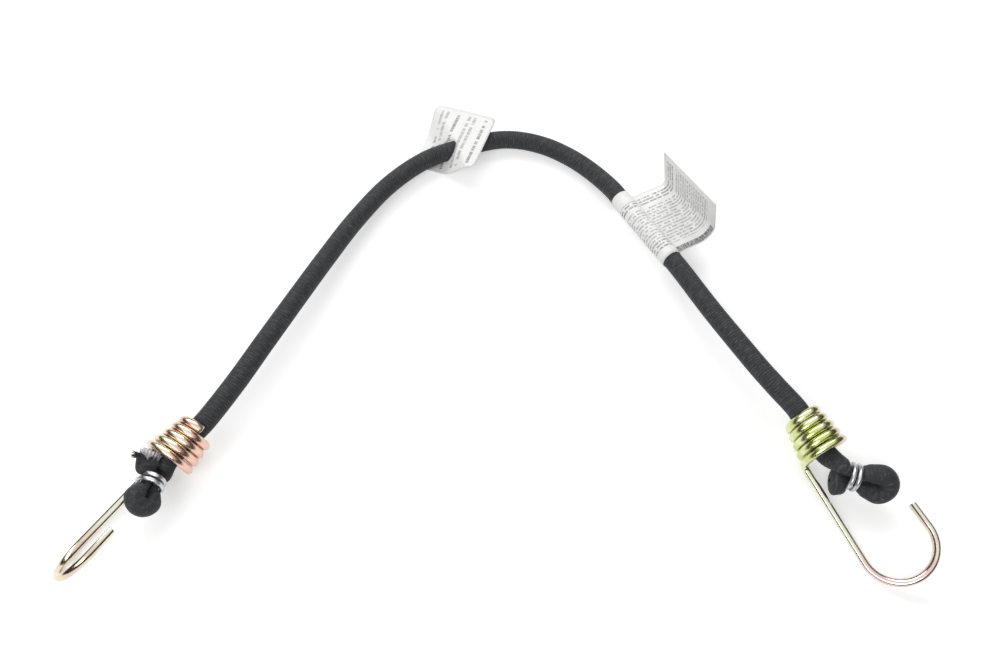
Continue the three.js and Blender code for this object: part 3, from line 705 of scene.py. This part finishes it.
copper_zinc = zinc_finish(
    "passivated_zinc_copper", LEFT_END,
    coil_tint="#e8dcc0", coil_patch="#e6c2b0", coil_edge="#e8bcae",
    shank_tint="#e9e7d8", bend_tint="#ddd0b8", bend_patch="#dcc6b8",
)
lime_zinc = zinc_finish(
    "passivated_zinc_lime", RIGHT_END,
    coil_tint="#c9d28c", coil_patch="#e0e1b8", coil_edge="#ead0d2",
    shank_tint="#e6e4d2", bend_tint="#e0c8c3", bend_patch="#dfd8c6",
)
placed_hook(LEFT_END, "left_wire_hook", copper_zinc, "left_hook", "left_hook")
placed_hook(RIGHT_END, "right_wire_hook", lime_zinc, "right_hook", "right_hook")

# Clamp rings: soft silver-coloured steel wire, wound not quite twice round both legs of the fold and
# pressed shut on them, which leaves it oval.
RING_WIRE = 2.0
RING_TURNS = 1.9
RING_PITCH = 2.5
RING_HALF_ACROSS = 5.05
RING_HALF_HEIGHT = 6.22
RING_SIDES = 16
RING_STEPS_PER_TURN = 32
SILVER_GRAIN = 600.0  # spots of colour to a metre
silver = new_material("bright_steel_wire")
silver_noise = add_node(
    silver, "TexNoise", Vector=add_node(silver, "TexCoord").outputs["Object"],
    Scale=SILVER_GRAIN, Detail=3.0,
)
silver_ramp = add_node(silver, "ValToRGB", Fac=silver_noise.outputs[0])
silver_colour = set_ramp(silver_ramp, (0.3, "#b4b6b8"), (0.6, "#d8d9db"), (0.8, "#e6e7e8"))
silver_rough = add_node(
    silver, "MapRange", Value=silver_noise.outputs[0], From_Min=0.3, From_Max=0.7, To_Min=0.28, To_Max=0.42
)
silver_bump = add_node(silver, "Bump", Height=silver_noise.outputs[0], Strength=0.2, Distance=0.08 * MM)
silver_surface = add_node(
    silver, "BsdfPrincipled", Base_Color=silver_colour, Metallic=1.0,
    Roughness=silver_rough.outputs[0], Normal=silver_bump.outputs[0],
)
add_node(silver, "OutputMaterial", Surface=silver_surface.outputs[0])


def placed_ring(end, name, body, node):
    shape = bmesh.new()
    rise = RING_PITCH * RING_TURNS
    slope = math.atan2(RING_PITCH, 2 * math.pi * RING_HALF_ACROSS)
    tangent = Vector((math.cos(slope), 0, math.sin(slope)))
    first = wire_end(shape, Vector((0, RING_HALF_ACROSS, -rise / 2)), tangent, RING_WIRE, RING_SIDES)
    steps = round(RING_STEPS_PER_TURN * RING_TURNS)
    last = grow(shape, first, Vector(), -UP, RING_TURNS * 2 * math.pi, steps, UP * rise)
    for v in shape.verts:
        v.co.x += (RING_HALF_HEIGHT - RING_HALF_ACROSS) * v.co.x / Vector((v.co.x, v.co.y)).length
    close_wire(shape, first, last)
    along, across, face = fold_frame(end)
    turn = Matrix((face, across, along)).transposed().to_4x4()
    bmesh.ops.transform(shape, matrix=Matrix.Translation(end["ring"]) @ turn, verts=shape.verts)
    ring = piece_from(shape, name, silver)
    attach(ring, body)
    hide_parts(node)
    return ring


left_ring = placed_ring(LEFT_END, "left_wire_ring", "left_end", "left_clamp_ring")
right_ring = placed_ring(RIGHT_END, "right_wire_ring", "cord", "right_clamp_ring")

# Wrap label: a strip of coated paper stuck round the cord, with its two ends stuck together as a flag
# that lies flat and then stands up. Rows of grey dashes stand where it is printed.
PAPER = 0.35
WRAP_LENGTH = 46.0
WRAP_CLEARANCE = 0.4
WRAP_RADIUS = CORD_DIAMETER / 2 + WRAP_CLEARANCE
WRAP_STEPS = 64
LABEL_AT = 15  # the point of the arch that it is wrapped round
FLAG_LENGTH = 42.0
FLAG_REACH = 13.0
CURL_RADIUS = 7.0  # of the flag's bend at its near end, and at its far end
CURL_TIGHT = 2.5
CURL_TURN = 98.0
FLAG_HEIGHT = 15.9
FLAG_STEPS = 64
LABEL_STEPS = 21  # along the cord
FLAG_ROWS_FROM = 100.0  # the flag's rows are counted from here on, the wrap's from 0
ROWS_APART = 7.3  # lengths of a word between the patterns of two rows
LETTERS_TO_WORD = 4
BAR_LEVEL = 0.95
INK = "#6f7173"
PAPER_GRAIN = 700.0  # fibres to a metre
PAPER_WELD = 1e-4


def printed_paper(name, row_pitch, word_size, rows_total, margins, bar_length, bands):
    """White coated paper. The attribute print_place gives the place along a row and across the rows. The
    margins are where rows begin and end, and bands give the ink from each place across the rows on: 1 is
    a solid bar of the given length."""
    paper = new_material(name)
    place = add_node(paper, "Attribute", {"attribute_name": "print_place"}).outputs["Vector"]
    parts = add_node(paper, "SeparateXYZ", Vector=place)
    row = add_node(paper, "Math", {"operation": "DIVIDE"}, in_0=parts.outputs["Y"], in_1=row_pitch)
    row_number = add_node(paper, "Math", {"operation": "FLOOR"}, in_0=row.outputs[0])
    from_gap = add_node(paper, "Math", {"operation": "PINGPONG"}, in_0=row.outputs[0], in_1=0.5)
    row_ink = add_node(paper, "MapRange", Value=from_gap.outputs[0], From_Min=0.2, From_Max=0.28)
    row_apart = add_node(
        paper, "Math", {"operation": "MULTIPLY"}, in_0=row_number.outputs[0], in_1=ROWS_APART * word_size
    )
    word_place = add_node(paper, "CombineXYZ", X=parts.outputs["X"], Y=row_apart.outputs[0])
    words, letters = (
        add_node(
            paper, "TexNoise", {"noise_dimensions": "2D"}, Vector=word_place.outputs[0],
            Scale=to_word / word_size, Detail=1.0,
        )
        for to_word in (1, LETTERS_TO_WORD)
    )
    word_ink = add_node(paper, "MapRange", Value=words.outputs[0], From_Min=0.38, From_Max=0.44)
    letter_ink = add_node(
        paper, "MapRange", Value=letters.outputs[0], From_Min=0.35, From_Max=0.6, To_Min=0.45, To_Max=1.0
    )
    across_share = add_node(paper, "Math", {"operation": "DIVIDE"}, in_0=parts.outputs["Y"], in_1=rows_total)
    band_ramp = add_node(paper, "ValToRGB", Fac=across_share.outputs[0])
    band_ramp.color_ramp.interpolation = "CONSTANT"
    band = set_ramp(band_ramp, *((start / rows_total, level) for start, level in bands))
    from_start = add_node(
        paper, "Math", {"operation": "GREATER_THAN"}, in_0=parts.outputs["X"], in_1=margins[0]
    )
    to_end = add_node(paper, "Math", {"operation": "LESS_THAN"}, in_0=parts.outputs["X"], in_1=margins[1])
    in_rows = add_node(
        paper, "Math", {"operation": "MULTIPLY"}, in_0=from_start.outputs[0], in_1=to_end.outputs[0]
    )
    ink = row_ink.outputs[0]
    for part in (word_ink.outputs[0], band, in_rows.outputs[0]):
        ink = add_node(paper, "Math", {"operation": "MULTIPLY"}, in_0=ink, in_1=part).outputs[0]
    bar = add_node(paper, "Math", {"operation": "GREATER_THAN"}, in_0=band, in_1=BAR_LEVEL)
    bar_end = add_node(paper, "Math", {"operation": "LESS_THAN"}, in_0=parts.outputs["X"], in_1=bar_length)
    bar_ink = add_node(paper, "Math", {"operation": "MULTIPLY"}, in_0=bar.outputs[0], in_1=bar_end.outputs[0])
    no_bar = add_node(paper, "Math", {"operation": "SUBTRACT"}, in_0=1.0, in_1=bar.outputs[0])
    ink = add_node(
        paper, "Math", {"operation": "MULTIPLY_ADD"},
        in_0=ink, in_1=no_bar.outputs[0], in_2=bar_ink.outputs[0],
    )
    ink = add_node(paper, "Math", {"operation": "MULTIPLY"}, in_0=ink.outputs[0], in_1=letter_ink.outputs[0])
    fibre = add_node(
        paper, "TexNoise", Vector=add_node(paper, "TexCoord").outputs["Object"],
        Scale=PAPER_GRAIN, Detail=3.0,
    )
    sheet_ramp = add_node(paper, "ValToRGB", Fac=fibre.outputs[0])
    sheet_colour = set_ramp(sheet_ramp, (0.3, "#f1f1ef"), (0.7, "#fafaf9"))
    inked = add_node(
        paper, "Mix", {"data_type": "RGBA"}, in_0=ink.outputs[0], in_6=sheet_colour, in_7=colour(INK)
    )
    bump = add_node(paper, "Bump", Height=fibre.outputs[0], Strength=0.15, Distance=0.06 * MM)
    surface = add_node(
        paper, "BsdfPrincipled", Base_Color=inked.outputs[2], Roughness=0.55, Normal=bump.outputs[0]
    )
    add_node(paper, "OutputMaterial", Surface=surface.outputs[0])
    return paper


def paper_edge(shape, x, y, length):
    """A straight row of edges along Z, the start of a paper strip."""
    ends = [shape.verts.new((x, y, z)) for z in (-length / 2, length / 2)]
    edge = shape.edges.new(ends)
    made = bmesh.ops.subdivide_edges(shape, edges=[edge], cuts=LABEL_STEPS - 1)["geom_split"]
    return [g for g in made if isinstance(g, bmesh.types.BMEdge)]


label_paper = printed_paper(
    "printed_label_paper", row_pitch=1.8, word_size=1.5, rows_total=150.0, margins=(1.5, 38.0),
    bar_length=23.0,
    bands=[
        (0, 0.0), (8, 0.9), (12.6, 0.0), (14.4, 0.62), (36, 0.85), (41.4, 0.0),
        (FLAG_ROWS_FROM + 4.6, 0.9), (FLAG_ROWS_FROM + 9.2, 0.0), (FLAG_ROWS_FROM + 11.4, 0.62),
        (FLAG_ROWS_FROM + 37.5, 0.0), (FLAG_ROWS_FROM + 40.2, 1.0), (FLAG_ROWS_FROM + 43, 0.0),
    ],
)
label = bmesh.new()
print_place = label.verts.layers.float_vector.new("print_place")
grow(label, paper_edge(label, WRAP_RADIUS, 0, WRAP_LENGTH), Vector(), UP, 2 * math.pi, WRAP_STEPS)
bmesh.ops.remove_doubles(label, verts=label.verts, dist=PAPER_WELD)
for v in label.verts:
    turn = math.atan2(v.co.y, v.co.x) % (2 * math.pi)
    v[print_place] = (turn * WRAP_RADIUS, v.co.z + WRAP_LENGTH / 2, 0)

flag = bmesh.new()
print_place = flag.verts.layers.float_vector.new("print_place")
bmesh.ops.create_grid(flag, x_segments=FLAG_STEPS, y_segments=LABEL_STEPS, size=0.5)
for v in flag.verts:
    z = v.co.y * FLAG_LENGTH
    radius = CURL_TIGHT + (CURL_RADIUS - CURL_TIGHT) * (v.co.y + 0.5)
    lies_flat = FLAG_REACH + CURL_RADIUS - radius
    row_length = lies_flat + radius * math.radians(CURL_TURN) + FLAG_HEIGHT + CURL_RADIUS - radius
    along_row = (v.co.x + 0.5) * row_length
    turned = min(max((along_row - lies_flat) / radius, 0.0), math.radians(CURL_TURN))
    stands = max(along_row - lies_flat - radius * turned, 0.0) if turned else 0.0
    v.co.x = WRAP_RADIUS + min(along_row, lies_flat) + radius * math.sin(turned) + stands * math.cos(turned)
    v.co.y = radius * (1 - math.cos(turned)) + stands * math.sin(turned)
    v.co.z = z
    v[print_place] = (along_row, z + WRAP_LENGTH / 2 + FLAG_ROWS_FROM, 0)
for strip in (label, flag):
    bmesh.ops.recalc_face_normals(strip, faces=strip.faces)
    bmesh.ops.solidify(strip, geom=strip.faces[:], thickness=PAPER)
add_shape(label, flag)
label_along = (ARCH[LABEL_AT + 1] - ARCH[LABEL_AT - 1]).normalized()
label_out = UP.cross(label_along).normalized()
label_turn = Matrix((label_out, label_along.cross(label_out), label_along)).transposed().to_4x4()
bmesh.ops.transform(label, matrix=Matrix.Translation(ARCH[LABEL_AT]) @ label_turn, verts=label.verts)
wrapped_label = piece_from(label, "wrapped_label", label_paper)
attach(wrapped_label, "cord")
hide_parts("wrap_label")

# Size tag: a card with a hole, threaded on the cord, so it starts under the cord on one side of its hole
# and lies over it on the other. It is printed in rows of grey dashes too.
TAG_WIDTH = 34.0
TAG_HEIGHT = 36.0
TAG_HOLE = Vector((16.0, 10.5))  # from the card's lower left corner
TAG_CORNER = 3.0
TAG_TURN = 50.0
TABLE_GAP = 0.3
TAG_LOW = TABLE_GAP + PAPER / 2
CORD_LIFT = 1.5  # of the cord's underside where the tag hangs
TAG_CLEARANCE = 0.6
TAG_HIGH = CORD_LIFT + REST_HEIGHT + CORD_DIAMETER / 2 + TAG_CLEARANCE + PAPER / 2
TAG_RISE = 16.0
TAG_MIDDLE = Vector((-26.2, 193.2, 0))
TAG_BETWEEN = (6, 8)  # points of the arch, which give the way it lies
HOLE_CLEARANCE = 0.4
HOLE_RADIUS = CORD_DIAMETER / 2 + HOLE_CLEARANCE
HOLE_REACH = 14.0  # the furthest that the hole's edge and the card's can lie from the hole's middle
CARD_REACH = 60.0
HALVINGS = 24
TAG_RAYS = 144
TAG_RINGS = 14
tag_from, tag_to = (ARCH[k] for k in TAG_BETWEEN)
tag_along = Vector((tag_to.x - tag_from.x, tag_to.y - tag_from.y, 0)).normalized()
tag_across = UP.cross(tag_along)
near_tag = [s[0] for s in sections if (s[0] - TAG_MIDDLE).length < TAG_WIDTH]


def tag_place(flat):
    """The place on the bent card of a point of the flat one, measured from its hole."""
    turned = Matrix.Rotation(math.radians(TAG_TURN - 90), 2) @ flat
    share = min(max(turned.x / TAG_RISE + 0.5, 0.0), 1.0)
    share = share**3 * (share * (share * 6 - 15) + 10)
    plan = TAG_MIDDLE + tag_along * turned.x + tag_across * turned.y
    return plan + UP * (TAG_LOW + (TAG_HIGH - TAG_LOW) * share)


def clear_of_cord(flat):
    place = tag_place(flat)
    return min((place - middle).length for middle in near_tag) > HOLE_RADIUS


def off_card(flat):
    half = Vector((TAG_WIDTH, TAG_HEIGHT)) / 2
    offset = flat + TAG_HOLE - half
    beyond = [max(abs(offset[k]) - half[k] + TAG_CORNER, 0.0) for k in (0, 1)]
    return math.hypot(*beyond) > TAG_CORNER


def first_along(ray, reached, longest):
    """How far along a ray from the hole's middle something is first reached, by halving."""
    near, far = 0.0, longest
    for _ in range(HALVINGS):
        middle = (near + far) / 2
        near, far = (near, middle) if reached(ray * middle) else (middle, far)
    return far


tag_paper = printed_paper(
    "printed_card", row_pitch=3.0, word_size=2.6, rows_total=TAG_WIDTH, margins=(2.5, TAG_HEIGHT - 3.0),
    bar_length=24.0,
    bands=[
        (0, 0.0), (3.0, 0.8), (6.0, 0.0), (9.0, 0.55), (15.0, 0.0), (18.0, 0.8), (21.0, 0.0),
        (24.0, 0.5), (30.0, 0.0),
    ],
)
tag_rays = []
for k in range(TAG_RAYS):
    turn = 2 * math.pi * k / TAG_RAYS
    ray = Vector((math.cos(turn), math.sin(turn)))
    hole_edge = first_along(ray, clear_of_cord, HOLE_REACH)
    tag_rays.append((ray, hole_edge, first_along(ray, off_card, CARD_REACH)))
tag = bmesh.new()
print_place = tag.verts.layers.float_vector.new("print_place")
bmesh.ops.create_grid(tag, x_segments=TAG_RINGS, y_segments=TAG_RAYS, size=0.5)
for v in tag.verts:
    ray, hole_edge, card_edge = tag_rays[round((v.co.y + 0.5) * TAG_RAYS) % TAG_RAYS]
    flat = ray * (hole_edge + (card_edge - hole_edge) * (v.co.x + 0.5))
    v[print_place] = (flat.y + TAG_HOLE.y, TAG_WIDTH - flat.x - TAG_HOLE.x, 0)
    v.co = tag_place(flat)
bmesh.ops.remove_doubles(tag, verts=tag.verts, dist=PAPER_WELD)
bmesh.ops.recalc_face_normals(tag, faces=tag.faces)
bmesh.ops.solidify(tag, geom=tag.faces[:], thickness=PAPER)
threaded_tag = piece_from(tag, "threaded_tag", tag_paper)
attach(threaded_tag, "cord")
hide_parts("size_tag")

# Table and studio: a seamless white sheet that keeps the cord's shadow, in a white room with a wall
# all round that only reflections show, a soft box behind the cord and a weaker one in front.
FLOOR_GLOW = 0.45
GLOW_RUN = (0.8, 2.2)  # metres from the middle, over which the sheet fades into the white room
SKY_LIGHT = 0.35
TABLE_HALF_SIZE = 3.0


def stage_piece(shape, name, material):
    mesh = bpy.data.meshes.new(name)
    shape.to_mesh(mesh)
    shape.free()
    mesh.materials.append(material)
    piece = bpy.data.objects.new(name, mesh)
    bpy.context.scene.collection.objects.link(piece)
    return piece


def seen_directly(material):
    """1 where the camera, a reflection or a look through something sees it, 0 where it lights things."""
    rays = add_node(material, "LightPath")
    seen = add_node(
        material, "Math", {"operation": "MAXIMUM"},
        in_0=rays.outputs["Is Camera Ray"], in_1=rays.outputs["Is Glossy Ray"],
    )
    return add_node(
        material, "Math", {"operation": "MAXIMUM"},
        in_0=seen.outputs[0], in_1=rays.outputs["Is Transmission Ray"],
    )


sheet = new_material("white_sheet")
sheet_place = add_node(sheet, "TexCoord").outputs["Object"]
from_middle = add_node(sheet, "VectorMath", {"operation": "LENGTH"}, in_0=sheet_place)
glow_level = add_node(
    sheet, "MapRange", {"interpolation_type": "SMOOTHSTEP"}, Value=from_middle.outputs["Value"],
    From_Min=GLOW_RUN[0], From_Max=GLOW_RUN[1], To_Min=FLOOR_GLOW, To_Max=1.0,
)
glow = add_node(
    sheet, "Math", {"operation": "MULTIPLY"},
    in_0=seen_directly(sheet).outputs[0], in_1=glow_level.outputs[0],
)
sheet_glow = add_node(sheet, "Emission", Strength=glow.outputs[0])
sheet_matt = add_node(sheet, "BsdfDiffuse", Color=colour("#e6e6e6"))
sheet_both = add_node(sheet, "AddShader", in_0=sheet_glow.outputs[0], in_1=sheet_matt.outputs[0])
add_node(sheet, "OutputMaterial", Surface=sheet_both.outputs[0])
floor_shape = bmesh.new()
bmesh.ops.create_grid(floor_shape, x_segments=1, y_segments=1, size=TABLE_HALF_SIZE)
stage_piece(floor_shape, "table", sheet)

# The wall is dark at its foot and fades to white at its top, so round metal shows soft dark bands.
WALL_RADIUS = 1.6
WALL_HEIGHT = 1.9
WALL_SIDES = 48
dim = new_material("dim_wall")
wall_place = add_node(dim, "SeparateXYZ", Vector=add_node(dim, "TexCoord").outputs["Object"])
wall_share = add_node(dim, "Math", {"operation": "DIVIDE"}, in_0=wall_place.outputs["Z"], in_1=WALL_HEIGHT)
wall_ramp = add_node(dim, "ValToRGB", Fac=wall_share.outputs[0])
wall_colour = set_ramp(wall_ramp, (0.0, "#26211c"), (0.45, "#3f3830"), (0.75, "#958e85"), (1.0, "#ffffff"))
wall_glow = add_node(dim, "Emission", Color=wall_colour)
add_node(dim, "OutputMaterial", Surface=wall_glow.outputs[0])
wall_shape = bmesh.new()
wall_foot = bmesh.ops.create_circle(wall_shape, segments=WALL_SIDES, radius=WALL_RADIUS)["verts"]
push(wall_shape, list({e for v in wall_foot for e in v.link_edges}), UP * WALL_HEIGHT)
wall = stage_piece(wall_shape, "wall", dim)
for ray_kind in ("camera", "diffuse", "transmission", "volume_scatter", "shadow"):
    setattr(wall, "visible_" + ray_kind, False)

world = bpy.data.worlds.new("studio")
bpy.context.scene.world = world
world.use_nodes = True
world.node_tree.nodes.clear()
sky_level = add_node(
    world, "MapRange", Value=seen_directly(world).outputs[0], To_Min=SKY_LIGHT, To_Max=1.0
)
sky = add_node(world, "Background", Color=colour("#ffffff"), Strength=sky_level.outputs[0])
add_node(world, "OutputWorld", Surface=sky.outputs[0])

LAMPS_AIM = (0.0, 0.08, 0.0)


def soft_lamp(name, place, size, watts):
    lamp = bpy.data.lights.new(name, "AREA")
    lamp.shape = "RECTANGLE"
    lamp.size, lamp.size_y = size
    lamp.energy = watts
    lamp_object = bpy.data.objects.new(name, lamp)
    lamp_object.location = place
    lamp_object.rotation_mode = "QUATERNION"
    lamp_object.rotation_quaternion = (Vector(LAMPS_AIM) - Vector(place)).to_track_quat("-Z", "Y")
    bpy.context.scene.collection.objects.link(lamp_object)


soft_lamp("back_box", place=(-0.2, 1.0, 0.85), size=(1.6, 0.6), watts=10.5)
soft_lamp("front_fill", place=(-0.4, -0.85, 1.0), size=(1.0, 0.6), watts=7.8)

bpy.context.scene.view_settings.view_transform = "Standard"
